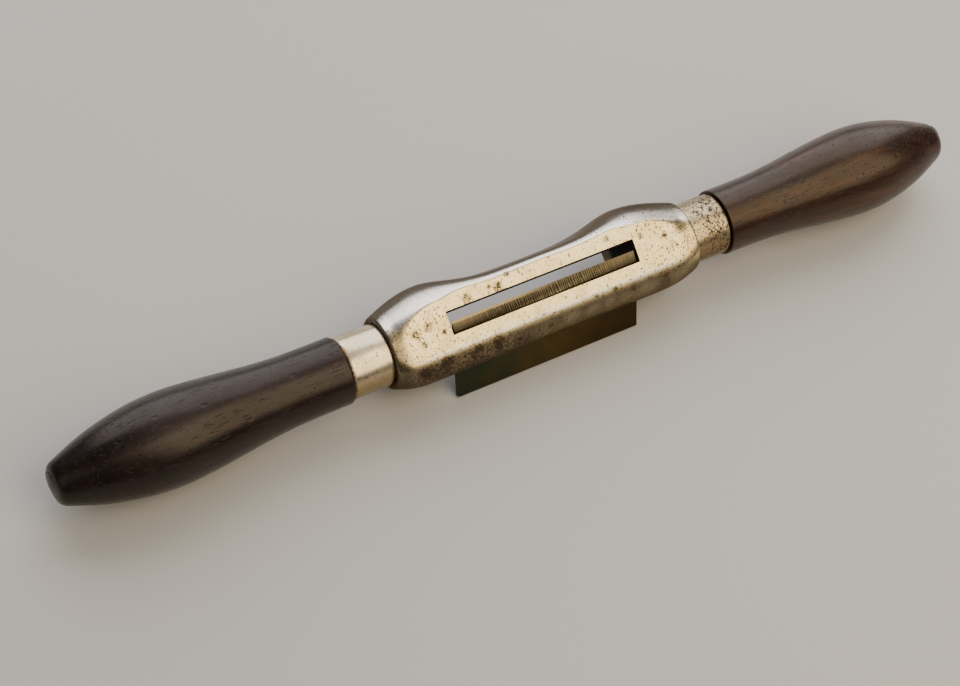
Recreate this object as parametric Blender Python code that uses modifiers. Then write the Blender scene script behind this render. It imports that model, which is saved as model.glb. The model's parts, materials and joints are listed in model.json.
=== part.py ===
"""A two-handed wood shave: a plated body with a flat sole and a mouth, a thin cutter clamped on a sloping
bed, and two turned wooden handles in ferrules. Metres, +Z up, lying on a bench with its sole turned up.

Tool frame: X runs along the tool, Y points to the toe (the side the edge faces), Z is the sole's normal.
Bed frame: origin at the middle of the cutting edge, Y runs up the bed to the edge, Z points into the bed.
"""

import math

import bmesh
import bpy
import numpy as np
from mathutils import Matrix

# Fits
GAP = 0.0003                    # left between any two pieces that seat on each other

# Body
MOUTH_LENGTH = 0.0540
NOSE_LENGTH = 0.0177            # from an end of the mouth to the ferrule
BODY_LENGTH = MOUTH_LENGTH + 2 * NOSE_LENGTH
SHOULDER_RADIUS = 0.01265       # the round swellings at both ends of the throat
SHOULDER_INSET = 0.0017         # from an end of the mouth to the crest of its swelling
SHOULDER_SPACING = MOUTH_LENGTH + 2 * SHOULDER_INSET
NOSE_RADIUS = 0.00915           # where the body meets a ferrule
NOSE_EDGE_ROUND = 0.0006
WAIST_DEPTH = 0.00955           # from the axis to the hollowed toe side, mid-length
HEEL_DEPTH = 0.01125            # from the axis to the straight heel side
SOLE_HEIGHT = 0.0095            # from the axis to the sole
HEEL_ROUNDING = 0.00065         # how far above the sole the heel's rounding would reach
HEEL_CROWN = SOLE_HEIGHT + HEEL_ROUNDING
TOE_ROUNDING = 0.0004           # the same for the waist on the toe side
TOE_CROWN = SOLE_HEIGHT + TOE_ROUNDING
UNDERSIDE_HEIGHT = 0.0015       # underside of the toe bar above the axis, mid-length
UNDERSIDE_OVERRUN = 0.0025      # from an end of the mouth to the foot of the arch below the toe bar
UNDERSIDE_SPAN = MOUTH_LENGTH + 2 * UNDERSIDE_OVERRUN

# Mouth and bed
MOUTH_TOE = 0.00452             # toe wall of the mouth, from the axis
MOUTH_HEEL = -0.0015            # heel lip of the mouth, from the axis
MOUTH_GAP = 0.0028              # from the cutting edge to the toe wall
EDGE_SETBACK = 0.0003           # how far the edge lies below the sole
BED_ANGLE = math.radians(37)

# Cutter
CUTTER_SIDE_PLAY = 0.0007       # from the cutter to each end of the mouth
CUTTER_WIDTH = MOUTH_LENGTH - 2 * CUTTER_SIDE_PLAY
CUTTER_LENGTH = 0.0227
CUTTER_THICKNESS = 0.00155
BEVEL_ANGLE = math.radians(28)
CUTTER_FEED = 0.0020            # travel towards the work from the rest setting
CUTTER_DRAW = 0.0030            # travel back

# Clamp
CAP_INSET = 0.0018              # from each end of the cutter to the cap
CAP_WIDTH = CUTTER_WIDTH - 2 * CAP_INSET
CAP_FRONT = 0.0026              # from the cutting edge to the cap's lip
CAP_REACH = 0.0112              # from the cap's lip to its tail
CAP_THICKNESS = 0.0018
CAP_LIP = 0.0008                # thickness at the lip and the tail
CAP_RELIEF = 0.0004             # hollow between the two lines that bear on the cutter
SCREW_STATION = 0.0080          # from the cutting edge to the screw, down the bed
SCREW_RADIUS = 0.0020
SCREW_ENGAGEMENT = 0.0020       # length of the screw inside the bed
SCREW_POINT = 0.0004            # chamfer on the screw's tip
SCREW_HEAD_RADIUS = 0.0036
SCREW_HEAD_LENGTH = 0.0018
SCREW_HEAD_CROWN = 0.0009       # the domed part of the head's length
DRIVER_SLOT_WIDTH = 0.0010
DRIVER_SLOT_DEPTH = 0.0010

# Handles
FERRULE_RADIUS = 0.00795
FERRULE_WALL = 0.0010
FERRULE_SHOWN = 0.0108          # between the body and the wood
FERRULE_SEAT = 0.0020           # depth of the seat in the body's nose
FERRULE_CHAMFER = 0.0003
TANG_RADIUS = 0.0030
TANG_WALL = 0.0037              # left between the tang and the end of the mouth
TANG_IN_BODY = NOSE_LENGTH - FERRULE_SEAT - TANG_WALL
TANG_IN_WOOD = 0.0430           # beyond the wood's shoulder
TANG_CHAMFER = 0.0005
HANDLE_LENGTH = 0.07325         # from the wood's shoulder to the tip of the butt
HANDLE_NECK_RADIUS = 0.00865
HANDLE_SWELL_RADIUS = 0.01160
HANDLE_SWELL_STATION = 0.0445   # from the shoulder to the fullest place
HANDLE_BUTT_RADIUS = 0.00526    # at the edge of the domed butt
HANDLE_BUTT_CROWN = 0.0020      # height of the dome

# Facets
TURN_STEPS = 40
SECTION_POINTS = 44
BODY_STATIONS = 37

TANGENT = Matrix(((0, 0, 1), (1, 0, 0), (0, 1, 0))).to_4x4()   # an outline's X, Y and depth become Y, Z and X


def clear_scene():
    for thing in list(bpy.data.objects):
        bpy.data.objects.remove(thing, do_unlink=True)


def new_collection(name):
    made = bpy.data.collections.new(name)
    bpy.context.scene.collection.children.link(made)
    return made


def add_frame(name, collection, parent=None, matrix=None):
    """An empty that carries what is placed in its axes."""
    made = bpy.data.objects.new(name, None)
    collection.objects.link(made)
    made.parent = parent
    made.matrix_local = matrix or Matrix.Identity(4)
    return made


def add_mesh(name, mesh, collection, parent, matrix=None):
    made = bpy.data.objects.new(name, mesh)
    collection.objects.link(made)
    made.parent = parent
    made.matrix_local = matrix or Matrix.Identity(4)
    return made


def material(name, colour, roughness, metallic):
    made = bpy.data.materials.new(name)
    made.use_nodes = True
    shader = made.node_tree.nodes["Principled BSDF"]
    shader.inputs["Base Color"].default_value = (*colour, 1)
    shader.inputs["Roughness"].default_value = roughness
    shader.inputs["Metallic"].default_value = metallic
    return made


def finish(piece, finish_material, crease=math.radians(32)):
    """Gives the piece its material and shades its round faces smooth."""
    piece.data.materials.clear()
    piece.data.materials.append(finish_material)
    piece.data.shade_smooth()
    piece.data.set_sharp_from_angle(angle=crease)


def make_helper(piece):
    """A cutter or a guide is drawn in wire and left out of the model."""
    piece.hide_render = True
    piece.display_type = "WIRE"
    return piece


def boolean(piece, other, operation="DIFFERENCE"):
    cut = piece.modifiers.new(f"{operation.lower()} {other.name}", "BOOLEAN")
    cut.operation = operation
    cut.object = other


def prism_mesh(name, outline, depth):
    """A closed outline drawn as a flat curve, given its depth along Z, as a mesh with welded caps."""
    curve = bpy.data.curves.new(name, "CURVE")
    curve.dimensions = "2D"
    curve.fill_mode = "BOTH"
    curve.extrude = depth / 2
    spline = curve.splines.new("POLY")
    spline.points.add(len(outline) - 1)
    for point, (across, up) in zip(spline.points, outline):
        point.co = (across, up, 0, 1)
    spline.use_cyclic_u = True
    drawn = bpy.data.objects.new(name, curve)
    bpy.context.scene.collection.objects.link(drawn)
    bpy.context.view_layer.update()
    mesh = bpy.data.meshes.new_from_object(drawn.evaluated_get(bpy.context.evaluated_depsgraph_get()))
    bpy.data.objects.remove(drawn)
    weld = bmesh.new()
    weld.from_mesh(mesh)
    bmesh.ops.remove_doubles(weld, verts=weld.verts, dist=1e-6)
    bmesh.ops.recalc_face_normals(weld, faces=weld.faces)
    weld.to_mesh(mesh)
    weld.free()
    return mesh


def cylinder_mesh(name, radius, depth, steps=TURN_STEPS):
    """A cylinder on Z, centred on the origin."""
    made = bmesh.new()
    bmesh.ops.create_cone(made, cap_ends=True, segments=steps, radius1=radius, radius2=radius, depth=depth)
    mesh = bpy.data.meshes.new(name)
    made.to_mesh(mesh)
    made.free()
    return mesh


def box_mesh(name, low, high):
    made = bmesh.new()
    size = [b - a for a, b in zip(low, high)]
    middle = [(a + b) / 2 for a, b in zip(low, high)]
    bmesh.ops.create_cube(made, size=1, matrix=Matrix.LocRotScale(middle, None, size))
    mesh = bpy.data.meshes.new(name)
    made.to_mesh(mesh)
    made.free()
    return mesh


def turned_piece(name, profile, collection, parent, matrix):
    """A lathe-turned piece: a profile of (radius, height) from top to bottom, screwed about Z."""
    mesh = bpy.data.meshes.new(name)
    points = [(radius, 0, height) for radius, height in profile]
    mesh.from_pydata(points, [(i, i + 1) for i in range(len(points) - 1)], [])
    piece = add_mesh(name, mesh, collection, parent, matrix)
    lathe = piece.modifiers.new("lathe", "SCREW")
    lathe.axis = "Z"
    lathe.steps = lathe.render_steps = TURN_STEPS
    lathe.use_merge_vertices = True
    lathe.merge_threshold = 1e-6
    lathe.use_smooth_shade = True
    return piece


def bake(piece):
    """Turns a piece's modifiers into its own mesh, so that a Boolean or another object can use it."""
    bpy.context.view_layer.update()
    graph = bpy.context.evaluated_depsgraph_get()
    mesh = bpy.data.meshes.new_from_object(piece.evaluated_get(graph))
    piece.modifiers.clear()
    piece.data = mesh


def along_curve(points, steps):
    """Points on a Catmull-Rom curve through the given ones, steps to a span."""
    points = np.array(points, float)
    ends = np.vstack([2 * points[0] - points[1], points, 2 * points[-1] - points[-2]])
    made = []
    for a, b, c, d in zip(ends, ends[1:], ends[2:], ends[3:]):
        for t in np.arange(steps) / steps:
            made.append(0.5 * (2 * b + (c - a) * t + (2 * a - 5 * b + 4 * c - d) * t**2
                               + (3 * b - a - 3 * c + d) * t**3))
    return [tuple(p) for p in made] + [tuple(points[-1])]


def soft_min(a, b, sharpness=24):
    """The smaller of two lengths, with the meeting place rounded."""
    return (a**-sharpness + b**-sharpness) ** (-1 / sharpness)


def turned_radius(x):
    """Radius of the body's round form: level between the swellings, a quarter cosine down to each nose."""
    half, crest = BODY_LENGTH / 2, SHOULDER_SPACING / 2
    along = max(abs(x) - crest, 0) / (half - crest)
    radius = SHOULDER_RADIUS - (SHOULDER_RADIUS - NOSE_RADIUS) * (1 - math.cos(math.pi / 2 * along))
    to_end = half - abs(x)
    if to_end < NOSE_EDGE_ROUND:
        radius -= NOSE_EDGE_ROUND - math.sqrt(NOSE_EDGE_ROUND**2 - (NOSE_EDGE_ROUND - to_end) ** 2)
    return radius


def body_section(x):
    """One cross-section of the body before it is cut: four quarter superellipses about the axis."""
    turned = turned_radius(x)
    inward = min(abs(x) / (SHOULDER_SPACING / 2), 1)
    swell = (1 - math.cos(math.pi * inward**2)) / 2          # 0 at the waist, 1 at a swelling
    toe = WAIST_DEPTH + (turned - WAIST_DEPTH) * swell
    heel = soft_min(HEEL_DEPTH, turned)
    heel_top = soft_min(HEEL_CROWN, turned)
    toe_top = TOE_CROWN + (turned - TOE_CROWN) * swell
    squareness = {"toe": 7 - 5 * math.sqrt(swell), "heel": 2.3}
    points = []
    for turn in np.linspace(0, 2 * math.pi, SECTION_POINTS, endpoint=False):
        across, up = math.cos(turn), math.sin(turn)
        side = "toe" if across > 0 else "heel"
        depth = toe if across > 0 else heel
        lean = min(max(3 * across, -1), 1)
        top = (heel_top + toe_top) / 2 + (toe_top - heel_top) / 2 * lean
        height = top if up > 0 else turned
        power = squareness[side] if up > 0 else 2
        reach = (abs(across / depth) ** power + abs(up / height) ** power) ** (-1 / power)
        points.append((x, reach * across, reach * up))
    return points


def loft_mesh(name, sections):
    """A skin over a row of like-numbered sections, closed at both ends."""
    made = bmesh.new()
    rings = [[made.verts.new(p) for p in section] for section in sections]
    count = len(rings[0])
    for near, far in zip(rings, rings[1:]):
        for i in range(count):
            j = (i + 1) % count
            made.faces.new((near[i], near[j], far[j], far[i]))
    made.faces.new(rings[0])
    made.faces.new(rings[-1])
    bmesh.ops.recalc_face_normals(made, faces=made.faces)
    mesh = bpy.data.meshes.new(name)
    made.to_mesh(mesh)
    made.free()
    return mesh


def body_stations():
    """Places of the cross-sections: even along the body, with three more in each rounded nose edge."""
    half = BODY_LENGTH / 2
    even = np.linspace(-half + NOSE_EDGE_ROUND, half - NOSE_EDGE_ROUND, BODY_STATIONS)
    edge = half - NOSE_EDGE_ROUND * np.array([0.0, 0.12, 0.45])
    return sorted({*even, *edge, *-edge})


def bed_matrix():
    """Place of the bed frame in the tool frame."""
    edge = (0, MOUTH_TOE - MOUTH_GAP, SOLE_HEIGHT - EDGE_SETBACK)
    return Matrix.Translation(edge) @ Matrix.Rotation(BED_ANGLE, 4, "X")


def throat_outline():
    """Section of what is cut away round the cutter: up through the mouth, along the bed, and out below."""
    beyond = 2 * SHOULDER_RADIUS
    bed = bed_matrix()
    bed_height = CUTTER_THICKNESS + GAP
    start = bed @ Matrix.Translation((0, 0, bed_height))
    slope = math.tan(BED_ANGLE)
    lip = start.translation.z + (MOUTH_HEEL - start.translation.y) * slope
    far = start.translation.z + (-beyond - start.translation.y) * slope
    return [(MOUTH_HEEL, beyond), (MOUTH_HEEL, lip), (-beyond, far), (-beyond, -beyond),
            (MOUTH_TOE, -beyond), (MOUTH_TOE, beyond)]


def make_body(parts, cutters, tool, bed, finish_material):
    sections = [body_section(x) for x in body_stations()]
    body = add_mesh("body", loft_mesh("body", sections), parts, tool)
    beyond = 2 * SHOULDER_RADIUS
    half = BODY_LENGTH / 2
    above_sole = box_mesh("sole_cutter", (-half, -beyond, SOLE_HEIGHT), (half, beyond, beyond))
    sole = add_mesh("sole_cutter", above_sole, cutters, tool)
    opening = prism_mesh("throat_cutter", throat_outline(), MOUTH_LENGTH)
    throat = add_mesh("throat_cutter", opening, cutters, tool, TANGENT)
    rise = UNDERSIDE_HEIGHT + SHOULDER_RADIUS + GAP
    arch_radius = ((UNDERSIDE_SPAN / 2) ** 2 + rise**2) / (2 * rise)
    across = Matrix.Rotation(math.pi / 2, 4, "X")
    below_toe = Matrix.Translation((0, 0, UNDERSIDE_HEIGHT - arch_radius)) @ across
    curve = cylinder_mesh("underside_cutter", arch_radius, 2 * beyond, 96)
    arch = add_mesh("underside_cutter", curve, cutters, tool, below_toe)
    tapped = cylinder_mesh("thread_cutter", SCREW_RADIUS + GAP, 2 * (SCREW_ENGAGEMENT + GAP))
    thread = add_mesh("thread_cutter", tapped, cutters, bed,
                      Matrix.Translation((0, -SCREW_STATION, CUTTER_THICKNESS + GAP)))
    for cutter in (sole, throat, arch, thread):
        boolean(body, make_helper(cutter))
    for side in (-1, 1):
        nose = Matrix.Translation((side * half, 0, 0)) @ Matrix.Rotation(math.pi / 2, 4, "Y")
        ring = cylinder_mesh("seat_cutter", FERRULE_RADIUS + GAP, 2 * FERRULE_SEAT)
        seat = add_mesh("seat_cutter", ring, cutters, tool, nose)
        rod = cylinder_mesh("tang_cutter", TANG_RADIUS + GAP, 2 * (FERRULE_SEAT + TANG_IN_BODY + GAP))
        bore = add_mesh("tang_cutter", rod, cutters, tool, nose)
        for cutter in (seat, bore):
            boolean(body, make_helper(cutter))
    bake(body)
    finish(body, finish_material)
    return body


def slot_outline(radius, low, high, steps=12):
    """A round-ended slot along Y."""
    turns = np.linspace(0, math.pi, steps)
    top = [(radius * math.cos(t), high + radius * math.sin(t)) for t in turns]
    bottom = [(-radius * math.cos(t), low - radius * math.sin(t)) for t in turns]
    return top + bottom


def make_cutter(parts, cutters, bed, finish_material):
    """The cutter: a flat plate with one bevel, and a slot that lets it slide past the clamp screw."""
    run = CUTTER_THICKNESS / math.tan(BEVEL_ANGLE)
    outline = [(0, 0), (-run, CUTTER_THICKNESS), (-CUTTER_LENGTH, CUTTER_THICKNESS), (-CUTTER_LENGTH, 0)]
    mesh = prism_mesh("cutter", outline, CUTTER_WIDTH)
    mesh.transform(TANGENT)
    cutter = add_mesh("cutter", mesh, parts, bed)
    travel = slot_outline(SCREW_RADIUS + GAP, -SCREW_STATION - CUTTER_FEED, -SCREW_STATION + CUTTER_DRAW)
    slot = add_mesh("slot_cutter", prism_mesh("slot_cutter", travel, 4 * CUTTER_THICKNESS), cutters, bed)
    boolean(cutter, make_helper(slot))
    bake(cutter)
    finish(cutter, finish_material)
    return cutter


def cap_outline():
    """Section of the clamp cap: two bearing lines, a hollow between them, and a bowed back."""
    bearing = CAP_REACH / 8
    lip, tail = -CAP_FRONT, -CAP_FRONT - CAP_REACH
    middle = (lip + tail) / 2
    quarter = CAP_REACH / 4
    back = along_curve([(tail, -CAP_LIP), (middle - quarter, -CAP_THICKNESS * 0.9), (middle, -CAP_THICKNESS),
                        (middle + quarter, -CAP_THICKNESS * 0.9), (lip, -CAP_LIP)], 4)
    face = [(lip, 0), (lip - bearing, 0), (lip - 2 * bearing, -CAP_RELIEF),
            (tail + 2 * bearing, -CAP_RELIEF), (tail + bearing, 0), (tail, 0)]
    return [(y, z - GAP) for y, z in face + back]


def make_cap(parts, cutters, bed, finish_material):
    mesh = prism_mesh("clamp_cap", cap_outline(), CAP_WIDTH)
    mesh.transform(Matrix.Translation((0, SCREW_STATION, 0)) @ TANGENT)
    cap = add_mesh("clamp_cap", mesh, parts, bed, Matrix.Translation((0, -SCREW_STATION, 0)))
    rod = cylinder_mesh("cap_hole_cutter", SCREW_RADIUS + GAP, 4 * CAP_THICKNESS)
    hole = add_mesh("cap_hole_cutter", rod, cutters, bed, Matrix.Translation((0, -SCREW_STATION, 0)))
    boolean(cap, make_helper(hole))
    bake(cap)
    finish(cap, finish_material)
    return cap


def screw_profile():
    """The clamp screw from its tip to the crown of its head, as (radius, height above the cutter's face)."""
    seat = -GAP - CAP_THICKNESS - GAP
    tip = CUTTER_THICKNESS + GAP + SCREW_ENGAGEMENT
    shank = [(0, tip), (SCREW_RADIUS - SCREW_POINT, tip), (SCREW_RADIUS, tip - SCREW_POINT),
             (SCREW_RADIUS, seat)]
    rim = seat - SCREW_HEAD_LENGTH + SCREW_HEAD_CROWN
    turns = np.linspace(0, math.pi / 2, 7)[:-1]
    crown = [(SCREW_HEAD_RADIUS * math.cos(t), rim - SCREW_HEAD_CROWN * math.sin(t)) for t in turns]
    return shank + [(SCREW_HEAD_RADIUS, seat)] + crown + [(0, seat - SCREW_HEAD_LENGTH)]


def make_clamp_screw(parts, cutters, bed, finish_material):
    """The clamp screw: a plain shank through cap and cutter, and a low domed head with a driver slot."""
    place = Matrix.Translation((0, -SCREW_STATION, 0))
    profile = screw_profile()
    screw = turned_piece("clamp_screw", profile, parts, bed, place)
    foot, reach = profile[-1][1], 2 * SCREW_HEAD_RADIUS
    slot = box_mesh("driver_slot_cutter", (-reach, -DRIVER_SLOT_WIDTH / 2, foot - DRIVER_SLOT_DEPTH),
                    (reach, DRIVER_SLOT_WIDTH / 2, foot + DRIVER_SLOT_DEPTH))
    boolean(screw, make_helper(add_mesh("driver_slot_cutter", slot, cutters, bed, place)))
    bake(screw)
    finish(screw, finish_material)
    return screw


def handle_profile():
    """A handle from butt to tenon and down its bore, as (radius, distance from the wood's shoulder)."""
    swell, neck = HANDLE_SWELL_RADIUS, HANDLE_NECK_RADIUS
    rise = swell - neck
    fall = swell - HANDLE_BUTT_RADIUS
    full = HANDLE_SWELL_STATION
    tail = HANDLE_LENGTH - HANDLE_BUTT_CROWN - full
    body = [(neck, 0), (neck, 0.16 * full), (neck + 0.06 * rise, 0.32 * full),
            (neck + 0.24 * rise, 0.47 * full), (neck + 0.54 * rise, 0.64 * full),
            (neck + 0.86 * rise, 0.83 * full), (swell, full), (swell - 0.10 * fall, full + 0.30 * tail),
            (swell - 0.44 * fall, full + 0.65 * tail), (swell - fall, full + tail)]
    curve = along_curve(body, 4)
    ball = (HANDLE_BUTT_RADIUS**2 + HANDLE_BUTT_CROWN**2) / (2 * HANDLE_BUTT_CROWN)
    edge = math.asin(HANDLE_BUTT_RADIUS / ball)
    butt = [(ball * math.sin(t), HANDLE_LENGTH - ball * (1 - math.cos(t)))
            for t in np.linspace(edge, 0, 6)[1:-1]]
    tenon = FERRULE_RADIUS - FERRULE_WALL - GAP
    tenon_end = -FERRULE_SHOWN - FERRULE_SEAT + GAP
    bore = TANG_RADIUS + GAP
    depth = TANG_IN_WOOD + GAP
    inner = [(tenon, 0), (tenon, tenon_end), (bore, tenon_end), (bore, depth), (0, depth)]
    return [(0, HANDLE_LENGTH)] + butt[::-1] + curve[::-1] + inner


def ferrule_profile():
    """The ferrule, a tube with eased edges, as (radius, distance from the wood's shoulder)."""
    outer, inner, ease = FERRULE_RADIUS, FERRULE_RADIUS - FERRULE_WALL, FERRULE_CHAMFER
    top = -GAP
    bottom = -FERRULE_SHOWN - FERRULE_SEAT + GAP
    ring = [(inner, top), (outer - ease, top), (outer, top - ease), (outer, bottom + ease),
            (outer - ease, bottom), (inner, bottom)]
    return ring + ring[:1]


def tang_profile():
    """The tang, a rod with eased ends, as (radius, distance from the wood's shoulder)."""
    ease, top = TANG_CHAMFER, TANG_IN_WOOD
    bottom = -FERRULE_SHOWN - FERRULE_SEAT - TANG_IN_BODY
    return [(0, top), (TANG_RADIUS - ease, top), (TANG_RADIUS, top - ease), (TANG_RADIUS, bottom + ease),
            (TANG_RADIUS - ease, bottom), (0, bottom)]


def make_handle_set(parts, tool, side, name, finishes):
    """One handle with its ferrule and tang, on the +X or the -X end."""
    shoulder = side * (BODY_LENGTH / 2 + FERRULE_SHOWN)
    place = Matrix.Translation((shoulder, 0, 0)) @ Matrix.Rotation(side * math.pi / 2, 4, "Y")
    made = []
    profiles = {"handle": handle_profile(), "ferrule": ferrule_profile(), "tang": tang_profile()}
    for piece, profile in profiles.items():
        turned = turned_piece(f"{name}_{piece}", profile, parts, tool, place)
        bake(turned)
        finish(turned, finishes[piece])
        made.append(turned)
    return made


def points_in(frame, pieces):
    """All points of the pieces, in the frame's axes."""
    bpy.context.view_layer.update()
    into = frame.matrix_world.inverted()
    found = []
    for piece in pieces:
        place = np.array(into @ piece.matrix_world)
        flat = np.empty(3 * len(piece.data.vertices), np.float32)
        piece.data.vertices.foreach_get("co", flat)
        found.append(flat.reshape(-1, 3) @ place[:3, :3].T + place[:3, 3])
    return np.vstack(found)


def lay_down(tool, cutter, others):
    """Rolls the tool about its length until the cutter's heel and the round body lie on one level, and puts
    the middle of its footprint at the origin."""
    heel, rest = points_in(tool, [cutter]), points_in(tool, others)

    def heights(points, tilt):
        return points[:, 1] * math.sin(tilt) + points[:, 2] * math.cos(tilt)

    low, high = math.radians(5), math.radians(80)
    for _ in range(50):
        tilt = (low + high) / 2
        if heights(heel, tilt).min() > heights(rest, tilt).min():
            low = tilt
        else:
            high = tilt
    roll = Matrix.Rotation(tilt, 4, "X")
    world = np.vstack([heel, rest]) @ np.array(roll.to_3x3()).T
    middle = (world.min(0) + world.max(0)) / 2
    tool.matrix_local = Matrix.Translation((-middle[0], -middle[1], -world.min(0)[2])) @ roll
    bpy.context.view_layer.update()
    print(f"lies at {math.degrees(tilt):.2f} degrees, box {world.max(0) - world.min(0)}")


def main():
    clear_scene()
    parts, cutters = new_collection("shave"), new_collection("cutters")
    nickel = material("plated_nickel", (0.72, 0.66, 0.55), 0.30, 1.0)
    steel = material("blued_steel", (0.17, 0.15, 0.11), 0.35, 1.0)
    iron = material("dark_iron", (0.30, 0.28, 0.26), 0.45, 1.0)
    wood = material("dark_hardwood", (0.055, 0.022, 0.014), 0.38, 0.0)

    tool = add_frame("tool_frame", parts)
    bed = add_frame("bed_frame", parts, tool, bed_matrix())
    body = make_body(parts, cutters, tool, bed, nickel)
    cutter = make_cutter(parts, cutters, bed, steel)
    cap = make_cap(parts, cutters, bed, nickel)
    screw = make_clamp_screw(parts, cutters, bed, nickel)
    finishes = {"handle": wood, "ferrule": nickel, "tang": iron}
    handles = []
    for side, name in ((-1, "left"), (1, "right")):
        handles += make_handle_set(parts, tool, side, name, finishes)
    lay_down(tool, cutter, [body, cap, screw, *handles])


main()
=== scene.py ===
import math
from functools import reduce

import bmesh
import bpy
import numpy as np
from mathutils import Matrix, Vector
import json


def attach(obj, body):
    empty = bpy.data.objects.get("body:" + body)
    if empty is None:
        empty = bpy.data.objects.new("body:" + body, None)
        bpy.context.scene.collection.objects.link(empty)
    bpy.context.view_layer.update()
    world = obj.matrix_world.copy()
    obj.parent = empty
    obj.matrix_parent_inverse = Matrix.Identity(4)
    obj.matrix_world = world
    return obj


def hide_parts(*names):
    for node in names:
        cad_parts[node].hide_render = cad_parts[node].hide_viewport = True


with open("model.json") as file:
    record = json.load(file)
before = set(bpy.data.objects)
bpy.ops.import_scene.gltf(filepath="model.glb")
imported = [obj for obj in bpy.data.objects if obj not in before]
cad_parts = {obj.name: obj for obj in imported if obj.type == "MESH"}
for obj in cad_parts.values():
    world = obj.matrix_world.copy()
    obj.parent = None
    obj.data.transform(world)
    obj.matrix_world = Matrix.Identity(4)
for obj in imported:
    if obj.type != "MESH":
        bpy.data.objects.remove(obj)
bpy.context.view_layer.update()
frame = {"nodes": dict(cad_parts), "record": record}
nodes = frame["nodes"]

# The shave lies rolled back about its own length. Shapes are worked out in millimetres in the tool's axes:
# x along the tool, y towards the toe side, z out of the sole, with the handles' axis at y = z = 0.
millimetre, perMetre = 0.001, 1000
soleMount = frame["record"]["mounts"][0]
soleNormal = Vector(soleMount["axis"])
soleMark = Vector((0.034, 0.0015, 0.0095))    # the mount's point in the tool's axes, in metres
roll = math.atan2(-soleNormal.y, soleNormal.z)
rollTurn = Matrix.Rotation(roll, 3, "X")
toolOrigin = Vector(soleMount["pos_m"]) - rollTurn @ soleMark
toolAxes = np.array(rollTurn)


def toWorld(points):                          # tool millimetres to metres in the scene
    return np.asarray(points, float) @ toolAxes.T * millimetre + np.array(toolOrigin)


print(f"frame loaded, rolled {math.degrees(roll):.2f} degrees")


# Meshes

def linked(name, data):                       # a new object in the scene
    thing = bpy.data.objects.new(name, data)
    bpy.context.scene.collection.objects.link(thing)
    return thing


def newPiece(name, vertices, faces):
    mesh = bpy.data.meshes.new(name)
    mesh.from_pydata(vertices, [], faces)
    return linked(name, mesh)


def smoothShade(mesh, crease):                # smooth, but sharp along edges above the crease angle
    mesh.shade_smooth()
    mesh.set_sharp_from_angle(angle=math.radians(crease))


def tidyMesh(piece, crease=30, weld=1e-7):    # doubles merged, faces outwards; weld in metres
    work = bmesh.new()
    work.from_mesh(piece.data)
    bmesh.ops.remove_doubles(work, verts=work.verts, dist=weld)
    bmesh.ops.recalc_face_normals(work, faces=work.faces)
    work.to_mesh(piece.data)
    work.free()
    smoothShade(piece.data, crease)


def gridFaces(rows, columns, wrapRows=False):  # quads between neighbours; the columns always close
    r = np.arange(rows if wrapRows else rows - 1)[:, None]
    c = np.arange(columns)[None, :]
    up, along = (r + 1) % rows, (c + 1) % columns
    corners = [r * columns + c, r * columns + along, up * columns + along, up * columns + c]
    return np.stack(np.broadcast_arrays(*corners), -1).reshape(-1, 4)


def gridPiece(name, points, capped=False, wrapRows=False):  # a grid of tool points made one closed piece
    rows, columns = points.shape[:2]
    faces = gridFaces(rows, columns, wrapRows).tolist()
    if capped:
        faces += [list(range(columns))[::-1], list(range((rows - 1) * columns, rows * columns))]
    piece = newPiece(name, toWorld(points.reshape(-1, 3)), faces)
    tidyMesh(piece)
    return piece


def cutAway(piece, *cutters):                 # Boolean cuts, made part of the mesh
    for cutter in cutters:
        cut = piece.modifiers.new(cutter.name, "BOOLEAN")
        cut.object = cutter
    bpy.context.view_layer.update()
    cutPiece = piece.evaluated_get(bpy.context.evaluated_depsgraph_get())
    cutMesh = bpy.data.meshes.new_from_object(cutPiece)
    piece.modifiers.clear()
    piece.data = cutMesh
    for cutter in cutters:
        bpy.data.objects.remove(cutter)


def fullTurn(steps):
    return np.linspace(0, 2 * math.pi, steps, endpoint=False)


def turnedGrid(profile, side, steps):         # (distance, radius) pairs carried round the axis
    along, radius = np.array(profile, float).T[:, :, None]
    turn = fullTurn(steps)
    return np.stack(np.broadcast_arrays(side * along, radius * np.cos(turn), radius * np.sin(turn)), -1)


def rodGrid(radius, low, high, axes, steps):  # a cylinder; axes are its length, across and up
    turn = fullTurn(steps)
    ring = np.stack([np.zeros(steps), np.cos(turn) * radius, np.sin(turn) * radius], -1)
    return np.stack([ring + [low, 0, 0], ring + [high, 0, 0]]) @ np.stack(axes)


def splineThrough(points, steps):             # a Catmull-Rom curve through the points, steps to a span
    points = np.array(points, float)
    ends = np.vstack([2 * points[0] - points[1], points, 2 * points[-1] - points[-2]])
    t = (np.arange(steps) / steps)[None, :, None]
    a, b, c, d = (ends[i:len(ends) - 3 + i, None] for i in range(4))
    twice = 2 * b + (c - a) * t + (2 * a - 5 * b + 4 * c - d) * t ** 2 + (3 * b - a - 3 * c + d) * t ** 3
    return np.vstack([twice.reshape(-1, points.shape[1]) / 2, points[-1]])


copyShape = {"weld": 1e-6, "flat": 1, "crease": 28, "corner": 40, "segments": 2}  # metres, and degrees


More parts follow.
